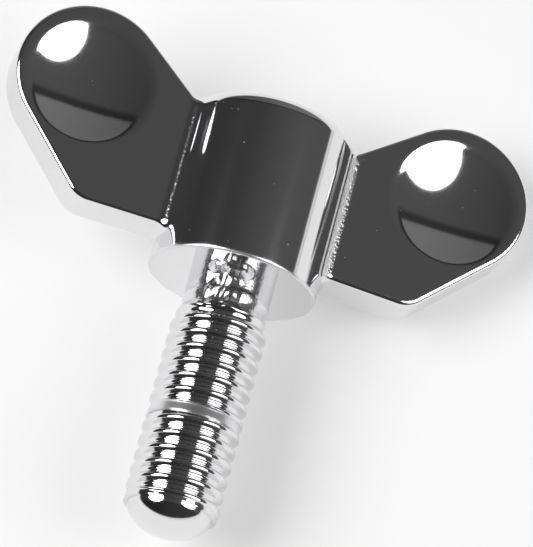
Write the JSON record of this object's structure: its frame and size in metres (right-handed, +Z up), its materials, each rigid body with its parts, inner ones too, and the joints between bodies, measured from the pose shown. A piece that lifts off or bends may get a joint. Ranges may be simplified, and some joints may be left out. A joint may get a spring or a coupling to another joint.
{
  "type": "thumb screw",
  "caption": "Die-cast wing screw with dished round wings, a plain round barrel and a metric stud with a domed tip, lying on a surface.",
  "frame": {"origin": "centre of the seat, the flat face of the barrel round the stud, on the screw's axis", "axes": "the stud points along -Y, +Z is up as the screw lies on a surface, and the wings spread to either side, rolled about the axis until the wing on the +X side touches the surface"},
  "size_m": [0.0276, 0.026, 0.0088],
  "materials": {
    "chrome_plating": "bright chrome plating over a zinc die casting, mirror smooth on the faces and slightly rough in the wing roots"
  },
  "bodies": {
    "root": {"thumb_screw": "chrome_plating"}
  },
  "joints": []
}
